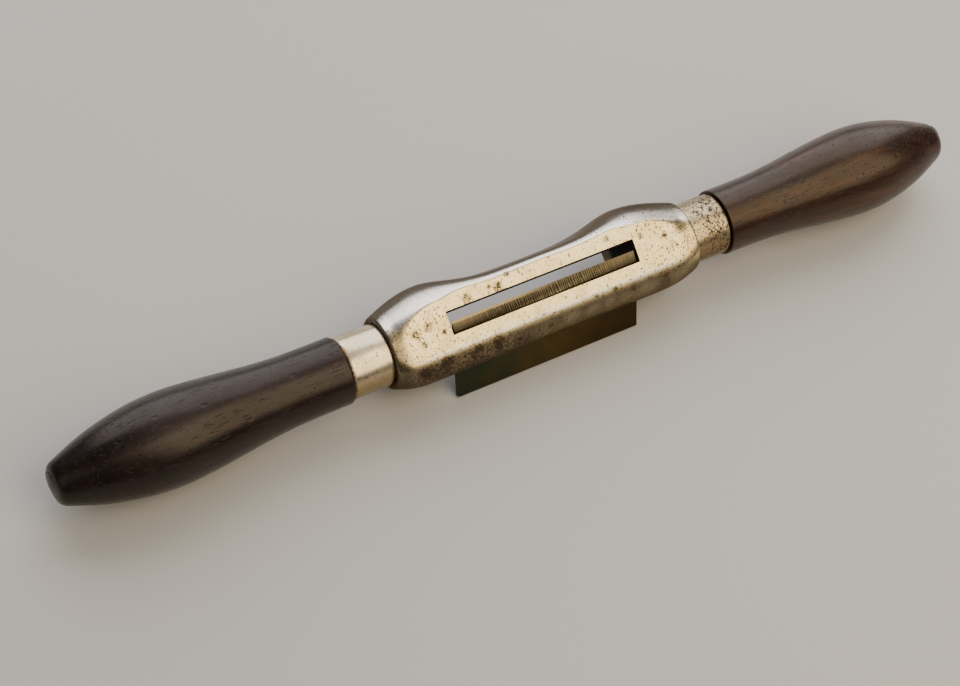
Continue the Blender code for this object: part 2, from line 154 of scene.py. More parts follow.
def finerCopy(nodeName, pieceName, edge, s=copyShape):  # a CAD node's own shape with its edges eased
    piece = linked(pieceName, nodes[nodeName].data.copy())
    piece.data.materials.clear()
    work = bmesh.new()
    work.from_mesh(piece.data)
    bmesh.ops.remove_doubles(work, verts=work.verts, dist=s["weld"])
    bmesh.ops.dissolve_limit(work, angle_limit=math.radians(s["flat"]), verts=work.verts, edges=work.edges)
    work.to_mesh(piece.data)
    work.free()
    smoothShade(piece.data, s["crease"])
    ease = piece.modifiers.new("easedEdges", "BEVEL")
    ease.width, ease.segments = edge * millimetre, s["segments"]
    ease.limit_method, ease.angle_limit = "ANGLE", math.radians(s["corner"])
    ease.harden_normals = True
    return piece


def seat(piece, body, slotName, *nodeNames):
    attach(piece, body)
    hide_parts(*nodeNames)


# Shader values

class Field:                                  # one socket; arithmetic on it adds Math nodes
    def __init__(self, finish, socket):
        self.finish, self.socket = finish, socket

    def math(self, operation, *values):
        return self.finish.add("ShaderNodeMath", {"operation": operation}, values)

    def __add__(self, other):
        return self.math("ADD", self, other)

    def __sub__(self, other):
        return self.math("SUBTRACT", self, other)

    def __rsub__(self, other):
        return self.math("SUBTRACT", other, self)

    def __mul__(self, other):
        return self.math("MULTIPLY", self, other)

    def __truediv__(self, other):
        return self.math("DIVIDE", self, other)

    def __abs__(self):
        return self.math("ABSOLUTE", self)

    __radd__, __rmul__ = __add__, __mul__

    def sine(self):
        return self.math("SINE", self)

    def atLeast(self, other):
        return self.math("MAXIMUM", self, other)

    def rise(self, low, high):                # 0 at low, 1 at high, smooth between; low may be larger
        sockets = {"Value": self, "From Min": low, "From Max": high}
        return self.finish.add("ShaderNodeMapRange", {"interpolation_type": "SMOOTHSTEP"}, sockets)


class Finish:                                 # a material under construction
    labels = {"colour": "Base Color", "coat": "Coat Weight", "coatRoughness": "Coat Roughness",
              "specular": "Specular IOR Level", "tint": "Specular Tint"}
    rolledAt = 9                              # radius at which a round surface is laid flat

    def __init__(self, name):
        self.material = bpy.data.materials.new(name)
        self.material.use_nodes = True
        self.tree = self.material.node_tree
        self.shader = self.tree.nodes["Principled BSDF"]
        self.placed = self.rolled = None

    def put(self, socket, value):
        if isinstance(value, Field):
            self.tree.links.new(value.socket, socket)
        elif isinstance(value, (tuple, list)) and len(value) == 3 and socket.type == "RGBA":
            socket.default_value = (*value, 1)
        else:
            socket.default_value = value

    def add(self, kind, settings, sockets, output=0):  # any node: its settings first, then values or links
        node = self.tree.nodes.new(kind)
        for key, value in settings.items():
            if key == "stops":
                ramp = node.color_ramp.elements
                while len(ramp) < len(value):
                    ramp.new(0.5)
                for element, (place, colour) in zip(ramp, value):
                    element.position, element.color = place, (*colour, 1)
            else:
                setattr(node, key, value)
        for key, value in (sockets.items() if isinstance(sockets, dict) else enumerate(sockets)):
            self.put(node.inputs[key], value)
        return Field(self, node.outputs[output])

    def place(self):                          # the tool's own millimetres, read from Object coordinates
        if self.placed is None:
            seen = self.add("ShaderNodeTexCoord", {}, {}, "Object")
            back = toolAxes.T @ np.array(toolOrigin) * -perMetre
            turned = {"Vector": seen, "Location": tuple(back), "Rotation": (-roll, 0, 0),
                      "Scale": (perMetre,) * 3}
            self.placed = self.add("ShaderNodeMapping", {}, turned)
        return self.placed

    def xyz(self, vector=None):
        parts = self.add("ShaderNodeSeparateXYZ", {}, [vector or self.place()])
        return [Field(self, s) for s in parts.socket.node.outputs]

    def vector(self, x, y, z):
        return self.add("ShaderNodeCombineXYZ", {}, [x, y, z])

    def stretch(self, x, y, z, shift=(0, 0, 0)):
        sockets = {"Vector": self.place(), "Location": shift, "Scale": (x, y, z)}
        return self.add("ShaderNodeMapping", {}, sockets)

    def skin(self):                           # the surface laid flat: along the tool, and round it
        if self.rolled is None:
            x, y, z = self.xyz()
            self.rolled = self.vector(x, y.math("ARCTAN2", y, z) * self.rolledAt, 0)
        return self.rolled

    def noise(self, scale, detail=4, vector=None, rough=0.55, twist=0.0):
        sockets = {"Vector": vector or self.place(), "Scale": scale, "Detail": detail,
                   "Roughness": rough, "Distortion": twist}
        return self.add("ShaderNodeTexNoise", {}, sockets, "Fac")

    def cells(self, scale, vector, output="Distance", across="3D"):
        settings = {"voronoi_dimensions": across}
        return self.add("ShaderNodeTexVoronoi", settings, {"Vector": vector, "Scale": scale}, output)

    def mix(self, factor, first, second):
        return self.add("ShaderNodeMix", {"data_type": "RGBA"}, {0: factor, 6: first, 7: second}, 2)

    def layered(self, base, layers):          # each (share, colour) laid over what is below it
        return reduce(lambda below, layer: self.mix(layer[0], below, layer[1]), layers, base)

    def ramp(self, value, stops):
        return self.add("ShaderNodeValToRGB", {"stops": stops}, [value])

    def relief(self, height, depth):          # bumps, their depth in millimetres
        return self.add("ShaderNodeBump", {}, {"Height": height, "Distance": depth * millimetre})

    def wear(self, **sockets):                # what the shader itself gets
        for name, value in sockets.items():
            self.put(self.shader.inputs[self.labels.get(name, name.capitalize())], value)
        return self.material


def shaded(colour, share):
    return tuple(c * share for c in colour)


def specks(finish, scale, size, share):       # round spots, one to a cell, in a share of the cells
    near, colour = (finish.cells(scale, finish.skin(), output, "2D") for output in ("Distance", "Color"))
    chance, spread, _ = finish.xyz(colour)
    return (near * (1.6 - spread)).rise(size, size * 0.5) * (chance + share).rise(0.97, 1.03)


def blotches(finish, spots, x, y):            # soft spots at the places given; the strongest one counts
    flat = finish.vector(x, y, 0)
    masks = []
    for spotX, spotY, radius in spots:
        sockets = [flat, (spotX, spotY, 0)]
        gap = finish.add("ShaderNodeVectorMath", {"operation": "DISTANCE"}, sockets, "Value")
        masks.append(gap.rise(radius * 1.25, radius * 0.15))
    return reduce(Field.atLeast, masks)


def scratches(finish, lean, width, reach, share):  # short straight marks, all at one lean
    along, around, _ = finish.xyz(finish.skin())
    across = along * math.cos(lean) + around * math.sin(lean)
    down = around * math.cos(lean) - along * math.sin(lean)
    apart = 3 * lean                          # keeps marks of another lean from following these
    marks = finish.noise(1.0, 1, finish.vector(across / width, down / reach, apart), 0.4)
    return marks.rise(1 - share, 1.03 - share)


def rustColours(finish, look, rust, plate):
    tone = finish.noise(0.9, 3).rise(0.40, 0.62)
    return finish.mix(rust, plate, finish.mix(tone, look["rustDeep"], look["rustThin"]))


# Body

bodyShape = {
    # half lengths, and how far the sole narrows on the toe side of each shoulder
    "half": 44.7, "halfLeft": 43.1, "toeDrop": 0.50, "toeDropLeft": 0.70, "dropEnd": 3.0,
    # reaches from the axis, and the superellipse powers of the quarters between them
    "crest": 28.7, "shoulder": 12.65, "nose": 9.15, "noseRound": 0.6, "waist": 9.55, "heel": 11.25,
    "heelCrown": 10.15, "toeCrown": 9.9, "crownLean": 3, "sole": 9.5,
    "waistPower": 7, "shoulderPower": 2, "heelPower": 2.3, "backPower": 2.0,
    # sharpness of the sole's long edges, the turn from one to the other, and where they ease at each nose
    "toeEdge": 90, "heelEdge": 16, "edgeTurn": (-0.6, 0.5),
    "endEase": 0.8, "easeStart": 12.7, "easeFull": 1.7,
    # mouth, its rubbed toe lip, and the bed below the cutter
    "mouth": 27.0, "mouthToe": 4.52, "mouthHeel": -1.5, "toeLip": 0.60, "lipDepth": 2, "lipFlare": 0.03,
    "lipOver": 0.1, "edgeY": 1.72, "edgeZ": 9.2, "bedAngle": 37.0, "bedHeight": 1.85,
    # arch below the toe bar, seats of the ferrules, bores of the tangs and hole of the clamp screw
    "archTop": 1.5, "archSpan": 29.5, "archFoot": 0.3, "seat": 8.25, "seatFloor": 42.7, "seatOut": 60,
    "bore": 3.3, "boreFloor": 30.4, "screwHole": 2.3, "screwStart": 1, "screwDepth": 2.3, "screwDown": 8.0,
    # rows of the mesh, the angle of its sharp edges, and how far the cuts run past it
    "stations": 230, "around": 224, "endRows": 7, "cutSteps": 96, "crease": 24, "beyond": 26.0}


def softMin(a, b, sharpness=24):              # the lower of two, rounded where they cross
    return (a ** -sharpness + b ** -sharpness) ** (-1 / sharpness)


def smoothStep(value, low, high):
    t = np.clip((value - low) / (high - low), 0, 1)
    return t * t * (3 - 2 * t)


def bodyReach(x, turn, s):
    # distance of the skin from the axis: quarter superellipses between the toe, heel, top and back reaches,
    # which swell and taper along x by cosines, held down to the sole's height where that is lower
    ax, half = np.abs(x), np.where(x < 0, s["halfLeft"], s["half"])
    nearNose = smoothStep(ax, half - s["easeStart"], half - s["easeFull"])
    drop = np.where(x < 0, s["toeDropLeft"], s["toeDrop"]) * (1 - smoothStep(ax, half - s["dropEnd"], half))
    along = np.clip((ax - s["crest"]) / (half - s["crest"]), 0, 1)
    turned = s["shoulder"] - (s["shoulder"] - s["nose"]) * (1 - np.cos(math.pi / 2 * along))
    nearEnd = np.clip(s["noseRound"] - (half - ax), 0, s["noseRound"])
    turned = turned - s["noseRound"] + np.sqrt(s["noseRound"] ** 2 - nearEnd ** 2)
    swell = (1 - np.cos(math.pi * np.minimum(ax / s["crest"], 1) ** 2)) / 2
    toe = s["waist"] + (turned - s["waist"]) * swell
    toeTop = s["toeCrown"] + (turned - drop - s["toeCrown"]) * swell
    heelTop = softMin(s["heelCrown"], turned)
    across, up = np.cos(turn), np.sin(turn)
    depth = np.where(across > 0, toe, softMin(s["heel"], turned))
    lean = np.clip(s["crownLean"] * across, -1, 1)  # from the heel's crown to the toe's
    height = np.where(up > 0, (heelTop + toeTop) / 2 + (toeTop - heelTop) / 2 * lean, turned)
    toePower = s["waistPower"] - (s["waistPower"] - s["shoulderPower"]) * np.sqrt(swell)
    power = np.where(up > 0, np.where(across > 0, toePower, s["heelPower"]), s["backPower"])
    reach = ((np.abs(across) / depth) ** power + (np.abs(up) / height) ** power) ** (-1 / power)
    flat = s["sole"] / np.maximum(up, 0.02)   # the sole's plane; far off where the skin faces down
    nearToe = smoothStep(across, *s["edgeTurn"])
    edge = s["heelEdge"] + (s["toeEdge"] - s["heelEdge"]) * nearToe * (1 - s["endEase"] * nearNose)
    return softMin(reach, flat, edge)


def throatCut(s):                             # the mouth and bed: an outline across the tool, run along it
    bed, far = math.radians(s["bedAngle"]), s["beyond"]
    bedY = s["edgeY"] - s["bedHeight"] * math.sin(bed)
    bedZ = s["edgeZ"] + s["bedHeight"] * math.cos(bed)
    heelZ, farZ = (bedZ + (y - bedY) * math.tan(bed) for y in (s["mouthHeel"], -far))
    bar, lip = s["mouthToe"] - s["toeLip"], s["mouthToe"] + s["lipFlare"]
    outline = [(s["mouthHeel"], far), (s["mouthHeel"], heelZ), (-far, farZ), (-far, -far), (bar, -far),
               (bar, s["sole"] - s["lipDepth"]), (lip, s["sole"] + s["lipOver"]), (lip, far)]
    section, end = np.array([(0, y, z) for y, z in outline]), [s["mouth"], 0, 0]
    return gridPiece("throatCut", np.stack([section - end, section + end]), capped=True)


def archCut(s):                               # a cylinder across the tool, its top below the toe bar
    rise = s["archTop"] + s["shoulder"] + s["archFoot"]
    radius = (s["archSpan"] ** 2 + rise ** 2) / (2 * rise)
    rod = rodGrid(radius, -s["beyond"], s["beyond"], ([0, 1, 0], [1, 0, 0], [0, 0, 1]), s["cutSteps"])
    return gridPiece("archCut", rod + [0, 0, s["archTop"] - radius], capped=True)


def screwCut(s):                              # a cylinder square to the bed
    bed = math.radians(s["bedAngle"])
    upBed, offBed = np.array([0, math.cos(bed), math.sin(bed)]), np.array([0, -math.sin(bed), math.cos(bed)])
    start, floor = s["bedHeight"] - s["screwStart"], s["bedHeight"] + s["screwDepth"]
    rod = rodGrid(s["screwHole"], start, floor, (offBed, [1, 0, 0], upBed), s["cutSteps"])
    return gridPiece("screwCut", rod + [0, s["edgeY"], s["edgeZ"]] - s["screwDown"] * upBed, capped=True)


def endCut(s, side):                          # a ferrule's seat, stepped down to the tang's bore
    socket = [(s["seatOut"], s["seat"]), (s["seatFloor"], s["seat"]),
              (s["seatFloor"], s["bore"]), (s["boreFloor"], s["bore"])]
    return gridPiece("endCut", turnedGrid(socket, side, s["cutSteps"]), capped=True)


def makeBody(s):
    ease = s["noseRound"] * (1 - np.cos(np.linspace(0, math.pi / 2, s["endRows"])))
    level = np.linspace(s["noseRound"] - s["halfLeft"], s["half"] - s["noseRound"], s["stations"])
    x = np.unique(np.round(np.concatenate([ease - s["halfLeft"], level, s["half"] - ease]), 6))[:, None]
    turn = fullTurn(s["around"])[None, :]
    reach = bodyReach(x, turn, s)
    points = np.stack([np.broadcast_to(x, reach.shape), reach * np.cos(turn), reach * np.sin(turn)], -1)
    casting = gridPiece("body_casting", points, capped=True)
    cutAway(casting, throatCut(s), archCut(s), screwCut(s), endCut(s, -1), endCut(s, 1))
    tidyMesh(casting, s["crease"])
    return casting


bodyWear = {
    # the whitest tone is a painted highlight along the sole's edges
    "nickel": (0.84, 0.70, 0.42), "stain": (0.60, 0.415, 0.178), "paintedHighlight": (0.90, 0.87, 0.83),
    # the darkest flank tone is a painted dark reflection on the toe flank, and the dark grey-brown also lays
    # painted shade on the left nose
    "greyBrown": (0.132, 0.106, 0.078), "side": (0.072, 0.060, 0.048), "haze": (0.105, 0.060, 0.025),
    "freckle": (0.150, 0.088, 0.010), "rustThin": (0.058, 0.032, 0.015), "rustDeep": (0.012, 0.009, 0.0065),
    "shadedRawIron": (0.012, 0.011, 0.010), "tint": (0.55, 0.50, 0.45, 1), "roughness": 0.25, "pitDepth": 0.032,
    # where wear, painted shade, painted reflection and painted highlights set in and where they are full:
    # along the tool, or across it for flanks and edges
    "ends": (25, 33), "pittedEnd": (20, 32), "heelFlank": (-4.8, -7.4), "heelMiddle": (2, -14),
    "heelEnd": (-44, -35), "toeDarkReflection": (-2, 2), "toeEdge": (0, 3), "rubbedSheenInner": (-3.9, -4.7),
    "rubbedSheenOuter": (-6.0, -5.0), "rubbedSheenEnds": (40, 33), "rightNose": (24, 35), "rightFlank": (3, 7),
    "leftNoseShade": (-38.0, -41.4), "leftFlank": (6, 3),
    # throat walls near-black, unplated iron with painted shade: from just outside the mouth's ends and
    # sides, just below the sole, and above the back
    "throatEnds": (0.03, 0.01), "throatSides": (0.04, 0.02), "throatTop": (0.03, 0.07),
    "throatFoot": (-7, -4),
    # worn places seen from above the sole: x, y and radius
    "blotches": [
        (-20.5, 5.7, 1.7), (-11.8, 5.6, 1.7), (-14.0, 6.4, 0.7), (-8.4, 7.7, 1.0), (-5.3, 7.6, 0.5),
        (-32.6, 2.6, 1.6), (-36.2, 1.9, 1.5), (-35.0, -1.2, 1.2), (-29.1, 0.1, 0.8), (20.1, 7.0, 1.1),
        (40.7, 2.9, 2.2), (35.7, 2.5, 0.9), (38.4, -1.0, 0.6), (29.3, 4.5, 1.2), (-16.2, -6.9, 2.3),
        (-21.4, -6.9, 1.5), (-30.5, -7.2, 2.2), (-36.6, -8.0, 2.0), (-1.0, -8.3, 0.9), (33.3, -7.1, 1.6),
        (23.5, -6.7, 1.0), (18.4, -5.8, 1.2), (12.7, -5.5, 0.9), (2.3, -6.0, 0.6)]}


def insideThroat(x, y, z, look, s):           # 1 on the walls of the mouth and throat
    ends = abs(x).rise(*(s["mouth"] + gap for gap in look["throatEnds"]))
    toe = y.rise(*(s["mouthToe"] + gap for gap in look["throatSides"]))
    heel = y.rise(*(s["mouthHeel"] - gap for gap in look["throatSides"]))
    top = z.rise(*(s["sole"] - gap for gap in look["throatTop"]))
    return ends * toe * heel * top * z.rise(*look["throatFoot"])


def nickelBody(look):
    finish = Finish("wornNickelBody")
    x, y, z = finish.xyz()
    fine = finish.noise(2.8, 3, rough=0.6)
    clouds = finish.noise(0.20, 4)
    grit = finish.noise(5.0, 3)
    broken = finish.noise(1.5, 6, rough=0.72)
    hairlines = finish.noise(4.0, 2, finish.stretch(0.06, 1.0, 1.0))
    facing = finish.xyz(finish.add("ShaderNodeNewGeometry", {}, {}, "True Normal"))
    slope = facing[1] * soleNormal.y + facing[2] * soleNormal.z  # 1 on the sole, 0 on an upright flank
    onSole = slope.rise(0.80, 0.93)
    ends = abs(x).rise(*look["ends"])
    heel = y.rise(*look["heelFlank"])         # the flank above the cutter's heel
    heelLeft = heel * x.rise(*look["heelMiddle"]) * x.rise(*look["heelEnd"])
    # painted dark reflection: the toe flank darkened from the sole's edge towards the silhouette
    toeDarkReflection = (slope + (clouds - 0.5) * 0.16).rise(0.82, 0.36) * y.rise(*look["toeDarkReflection"])
    # painted highlight: a white band on the toe flank just beyond the sole's edge
    toeEdge = slope.rise(0.93, 0.84) * y.rise(*look["toeEdge"])
    # a rubbed, polished strip along the heel-side edge of the sole, with a painted highlight laid on it
    rubbedSheen = y.rise(*look["rubbedSheenInner"]) * y.rise(*look["rubbedSheenOuter"]) * slope.rise(0.75, 0.9)
    rubbedSheen = rubbedSheen * abs(x).rise(*look["rubbedSheenEnds"])
    rightNose = x.rise(*look["rightNose"]) * y.rise(*look["rightFlank"]) * (1 - onSole)
    # painted shade: the tip of the left nose darkened
    leftNoseShade = x.rise(*look["leftNoseShade"]) * y.rise(*look["leftFlank"])
    inside = insideThroat(x, y, z, look, bodyShape)
    blots = blotches(finish, look["blotches"], x + (fine - 0.5) * 1.2, y + (broken - 0.5) * 1.6)

    mottle = broken * 0.75 + fine * 0.25 + (clouds - 0.5) * 0.14
    mottle = mottle + heelLeft * 0.10 + heel * 0.02 + blots * 0.125
    pitted = 0.05 + heel * 0.22 + ends * 0.06 + x.rise(*look["pittedEnd"]) * 0.10
    rust = mottle.rise(0.575, 0.685).atLeast(specks(finish, 1.35, 0.24, pitted))
    small = specks(finish, 2.3, 0.36, 0.16 + ends * 0.24) * 0.7
    freckles = specks(finish, 1.1, 0.34, 0.12 + ends * 0.32).atLeast(small) * onSole
    haze = (heelLeft * broken.rise(0.40, 0.62) * 0.85).atLeast(blots * 0.40 * (1 - onSole))
    spotted = (freckles * 0.74).atLeast(blots.rise(0.0, 0.7) * 0.42 * onSole)
    plate = finish.layered(look["nickel"], [
        (clouds.rise(0.40, 0.66) * 0.45, look["stain"]),
        (grit.rise(0.44, 0.62) * 0.42, look["stain"]),
        # the heel flank darker grey-brown
        (heel * (0.62 + 0.5 * clouds), look["greyBrown"]),
        # rubbed polish and painted highlight on the heel-side edge
        (rubbedSheen * 0.5, look["paintedHighlight"]),
        # painted highlight along the toe-side edge
        (toeEdge * 0.75, look["paintedHighlight"]),
        # darker grey-brown by the right nose, off the sole
        (rightNose * 0.7, look["greyBrown"]),
        # painted dark reflection over the toe flank
        (toeDarkReflection * 0.88, look["side"]),
        # painted shade over the left nose's tip
        (leftNoseShade * (0.62 + 0.45 * broken), look["greyBrown"]),
        (haze, look["haze"]),
        (spotted, look["freckle"])])
    # the throat's walls near-black: unplated iron, darkened further as painted shade
    colour = finish.mix(inside, rustColours(finish, look, rust * 0.92, plate), look["shadedRawIron"])
    uneven = heel * 0.06 + (clouds - 0.4) * 0.14 + (hairlines - 0.5) * 0.08
    height = 1 - rust - freckles * 0.05 + hairlines * 0.05 + grit * 0.03
    return finish.wear(colour=colour, metallic=(1 - rust * 0.85) * (1 - inside), tint=look["tint"],
                       roughness=look["roughness"] + rust * 0.4 + inside * 0.5 + uneven,
                       normal=finish.relief(height, look["pitDepth"]))


body = makeBody(bodyShape)
body.data.materials.append(nickelBody(bodyWear))
seat(body, "frame", "plated_nickel", "body")
print(f"body made, {len(body.data.polygons)} faces")


# Handles and ferrules

handleShape = {
    "neck": 8.65, "swell": 11.60, "butt": 5.26, "buttEase": 0.9, "ease": 0.3,
    "tenon": 6.65, "tenonEnd": 43.0, "bore": 3.3, "boreEnd": 98.8, "boreWall": 0.1,
    # shares of the way and of the change in radius, from the neck to the swell and from there to the butt
    "toSwell": [(0.16, 0), (0.32, 0.06), (0.47, 0.24), (0.64, 0.54), (0.83, 0.86), (1, 1)],
    "toButt": [(0.30, 0.10), (0.65, 0.44), (1, 1)],
    # how far use has left the wood out of round, in shares of its radius, and over which lengths
    "oval": 0.004, "lobes": 0.003, "lobeTwist": 17, "wornFrom": 3, "wornOver": 20,
    "sagOver": 72, "sagPower": 1.5, "around": 144, "spanSteps": 12, "domeSteps": 10, "arcSteps": 8,
    # the ends aren't alike: the right one is shorter and rounder, and both sag a little to the heel side
    "left": {"shoulder": 54.4, "swellAt": 45.6, "length": 75.47, "crown": 1.36, "sag": 0.58},
    "right": {"shoulder": 55.5, "swellAt": 44.5, "length": 72.12, "crown": 2.61, "sag": 0.79}}


def handleProfile(s, end):                    # from the bore's end over tenon and shoulder to the butt
    rise, fall, full = s["swell"] - s["neck"], s["swell"] - s["butt"], end["swellAt"]
    tail = end["length"] - end["crown"] - full
    shape = [(s["ease"], s["neck"])] + [(a * full, s["neck"] + b * rise) for a, b in s["toSwell"]]
    shape += [(full + a * tail, s["swell"] - b * fall) for a, b in s["toButt"]]
    side = splineThrough(shape, s["spanSteps"])
    side = side[side[:, 0] < full + tail - s["buttEase"]]
    ball = (s["butt"] ** 2 + end["crown"] ** 2) / (2 * end["crown"])
    sweep = np.linspace(math.asin(s["butt"] / ball) - s["buttEase"] / ball, 0, s["domeSteps"])
    dome = np.stack([end["length"] - ball * (1 - np.cos(sweep)), ball * np.sin(sweep)], -1)
    t = np.linspace(0, 1, s["arcSteps"])[1:-1, None]
    edge = [full + tail, s["butt"]]           # the dome's edge, rubbed round
    corner = (1 - t) ** 2 * side[-1] + 2 * t * (1 - t) * edge + t ** 2 * dome[0]
    turn = np.linspace(0, math.pi / 2, s["arcSteps"])[:0:-1]
    eased = [(s["ease"] * (1 - math.sin(t)), s["neck"] - s["ease"] * (1 - math.cos(t))) for t in turn]
    outline = [(0, s["tenon"])] + eased + np.vstack([side, corner, dome]).tolist()
    inner = [(s["boreEnd"], 0), (s["boreEnd"], s["bore"]),
             (s["tenonEnd"], s["bore"]), (s["tenonEnd"], s["tenon"])]
    return inner + [(end["shoulder"] + a, r) for a, r in outline]


def handGrip(hand, side, s):                  # turned wood, a little out of round and out of line
    end = s[hand]
    points = turnedGrid(handleProfile(s, end), side, s["around"])
    out = np.abs(points[..., 0]) - end["shoulder"]
    turn = np.arctan2(points[..., 2], points[..., 1])
    worn = np.clip((out - s["wornFrom"]) / s["wornOver"], 0, 1)
    skin = np.hypot(points[..., 1], points[..., 2]) > s["bore"] + s["boreWall"]
    oval, lobes = np.sin(2 * turn + side), np.sin(3 * turn + out / s["lobeTwist"] + side)
    points[..., 1:] *= (1 + worn * skin * (s["oval"] * oval + s["lobes"] * lobes))[..., None]
    points[..., 1] -= end["sag"] * skin * (np.clip(out, 0, None) / s["sagOver"]) ** s["sagPower"]
    return gridPiece(f"{hand}_grip", points)


handleWear = {
    "both": {"pitsAndGapShade": (0.0015, 0.0012, 0.0010), "roughness": 0.30, "coat": 0.12, "coatRoughness": 0.2,
             "depth": 0.06},
    "left": {"dark": (0.0030, 0.0016, 0.0015), "mid": (0.0084, 0.0032, 0.0026),
             "light": (0.025, 0.0090, 0.0058), "shift": (3.1, 7.7, 1.2), "ring": 54.4, "pinholes": 0.15,
             "specular": 0.36, "tint": (1.0, 0.86, 0.76, 1)},
    "right": {"dark": (0.0046, 0.0018, 0.0012), "mid": (0.025, 0.0082, 0.0038),
              "light": (0.074, 0.026, 0.0092), "shift": (41.0, 2.3, 9.4), "ring": 55.4, "pinholes": 0.32,
              "specular": 0.43, "tint": (1.0, 0.81, 0.65, 1)}}


def endLook(wear, hand):                      # what both ends share, and what this one has
    return {**wear["both"], **wear[hand]}


def darkWood(name, look, side):
    finish = Finish(name)
    out = finish.xyz()[0] * side
    shift = look["shift"]
    streaks = finish.noise(1.0, 5, finish.stretch(0.035, 0.42, 0.42, shift), 0.6, 0.4)
    figure = finish.noise(1.0, 3, finish.stretch(0.012, 0.11, 0.11, shift))
    pores = finish.noise(1.0, 2, finish.stretch(0.16, 2.6, 2.6, shift)).rise(0.60, 0.70)
    patches = finish.noise(0.075, 4, finish.stretch(1, 1, 1, shift))
    worn = patches.rise(0.42, 0.58)
    dents = finish.cells(0.26, finish.stretch(0.7, 1.2, 1.2, shift)).rise(0.22, 0.05)
    lathe = finish.noise(1.0, 2, finish.stretch(4.0, 0.25, 0.25, shift))
    marks = scratches(finish, 1.0, 0.42, 3.4, 0.30).atLeast(scratches(finish, -0.5, 0.36, 2.6, 0.29)) * worn
    pinholes = specks(finish, 0.9, 0.15, worn * look["pinholes"])
    ring = (out - look["ring"]).rise(0.05, -0.05)  # painted shade in the gap where the wood meets the ferrule
    stops = [(0.36, look["dark"]), (0.53, look["mid"]), (0.72, look["light"])]
    tone = finish.layered(finish.ramp(streaks * 0.65 + figure * 0.35, stops), [
        (pores * 0.75, shaded(look["dark"], 0.25)),
        (patches.rise(0.50, 0.72) * 0.5, look["dark"]),
        (marks * 0.45, shaded(look["light"], 1.7)),
        # dark pits, and the painted shade in the gap at the ferrule
        (pinholes.atLeast(ring), look["pitsAndGapShade"])])
    raised = streaks * 0.30 + patches * 0.9 + lathe * 0.16
    sunk = pores * 0.5 + dents * 0.9 + marks * 0.7 + pinholes * 1.2
    uneven = (patches - 0.5) * 0.26 + pores * 0.2 + pinholes * 0.4 + ring * 0.4
    return finish.wear(colour=tone, roughness=look["roughness"] + uneven, specular=look["specular"],
                       tint=look["tint"], coat=patches.rise(0.35, 0.6) * (1 - ring) * look["coat"],
                       coatRoughness=look["coatRoughness"],
                       normal=finish.relief(raised - sunk, look["depth"]))


ferruleShape = {"outer": 7.95, "inner": 6.95, "low": 43.0, "round": 0.35, "left": 54.1, "right": 55.2,
                "around": 144, "arcSteps": 6}


def ferruleProfile(s, high):                  # a tube's section, its outer corners rounded
    turn = np.linspace(0, math.pi / 2, s["arcSteps"])
    inset, drop = s["round"] * (1 - np.sin(turn)), s["round"] * (1 - np.cos(turn))
    near = np.stack([s["low"] + inset, s["outer"] - drop], -1)[::-1]
    far = np.stack([high - inset, s["outer"] - drop], -1)
    return np.vstack([(s["low"], s["inner"]), near, far, (high, s["inner"])])


ferruleWear = {
    "both": {"paintedReflectionSide": (-2.6, -5.6), "pittedFrom": (45.5, 50.5), "depth": 0.05},
    # the heel colour is a painted dark reflection on each ferrule's heel side
    "left": {"nickel": (0.68, 0.575, 0.395), "heel": (0.27, 0.19, 0.085), "stain": (0.50, 0.37, 0.195),
             "rustThin": (0.22, 0.09, 0.022), "rustDeep": (0.030, 0.016, 0.010), "roughness": 0.26,
             "pitting": 0.0, "edge": 1.0, "meets": 43.1, "ends": 54.1},
    "right": {"nickel": (0.47, 0.370, 0.222), "heel": (0.20, 0.132, 0.058), "stain": (0.32, 0.220, 0.108),
              "rustThin": (0.050, 0.028, 0.014), "rustDeep": (0.009, 0.007, 0.006), "roughness": 0.30,
              "pitting": 1.0, "edge": 0.4, "meets": 44.7, "ends": 55.2}}


def nickelFerrule(name, look, side):
    finish = Finish(name)
    x, y, _ = finish.xyz()
    out = x * side
    rough = finish.noise(1.5, 5, finish.stretch(1.0, 0.75, 0.75), 0.7)
    clouds = finish.noise(0.25, 3)
    lathe = finish.noise(1.0, 3, finish.stretch(5.0, 0.12, 0.12))
    pitted = look["pitting"] * (0.55 + 0.45 * out.rise(*look["pittedFrom"]) + (clouds - 0.5) * 0.9)
    byWood = (out - look["ends"] + (clouds - 0.5) * 0.8).rise(-0.9, -0.2) * look["edge"]
    # a dark band where the ferrule meets the body: rust, with painted shade in the joint
    byBody = (out - look["meets"]).rise(0.3, 0.05)
    pits = specks(finish, 1.5, 0.26, 0.035 + pitted * 0.22)
    rust = (rough + pitted * 0.125).rise(0.655, 0.70).atLeast(pits)
    rust = rust.atLeast(byWood * (rough + 0.25).rise(0.5, 0.8)).atLeast(byBody * 0.8)
    plate = finish.layered(look["nickel"], [
        (clouds.rise(0.4, 0.7) * 0.55, look["stain"]),
        (specks(finish, 1.0, 0.36, 0.10 + pitted * 0.25) * 0.5, look["rustThin"]),
        # painted dark reflection: the heel side darker
        (y.rise(*look["paintedReflectionSide"]) * 0.8, look["heel"])])
    uneven = rust * 0.4 + (lathe - 0.5) * 0.12 + (clouds - 0.5) * 0.1
    return finish.wear(colour=rustColours(finish, look, rust, plate), metallic=1 - rust * 0.9,
                       roughness=look["roughness"] + uneven,
                       normal=finish.relief(1 - rust + lathe * 0.08, look["depth"]))


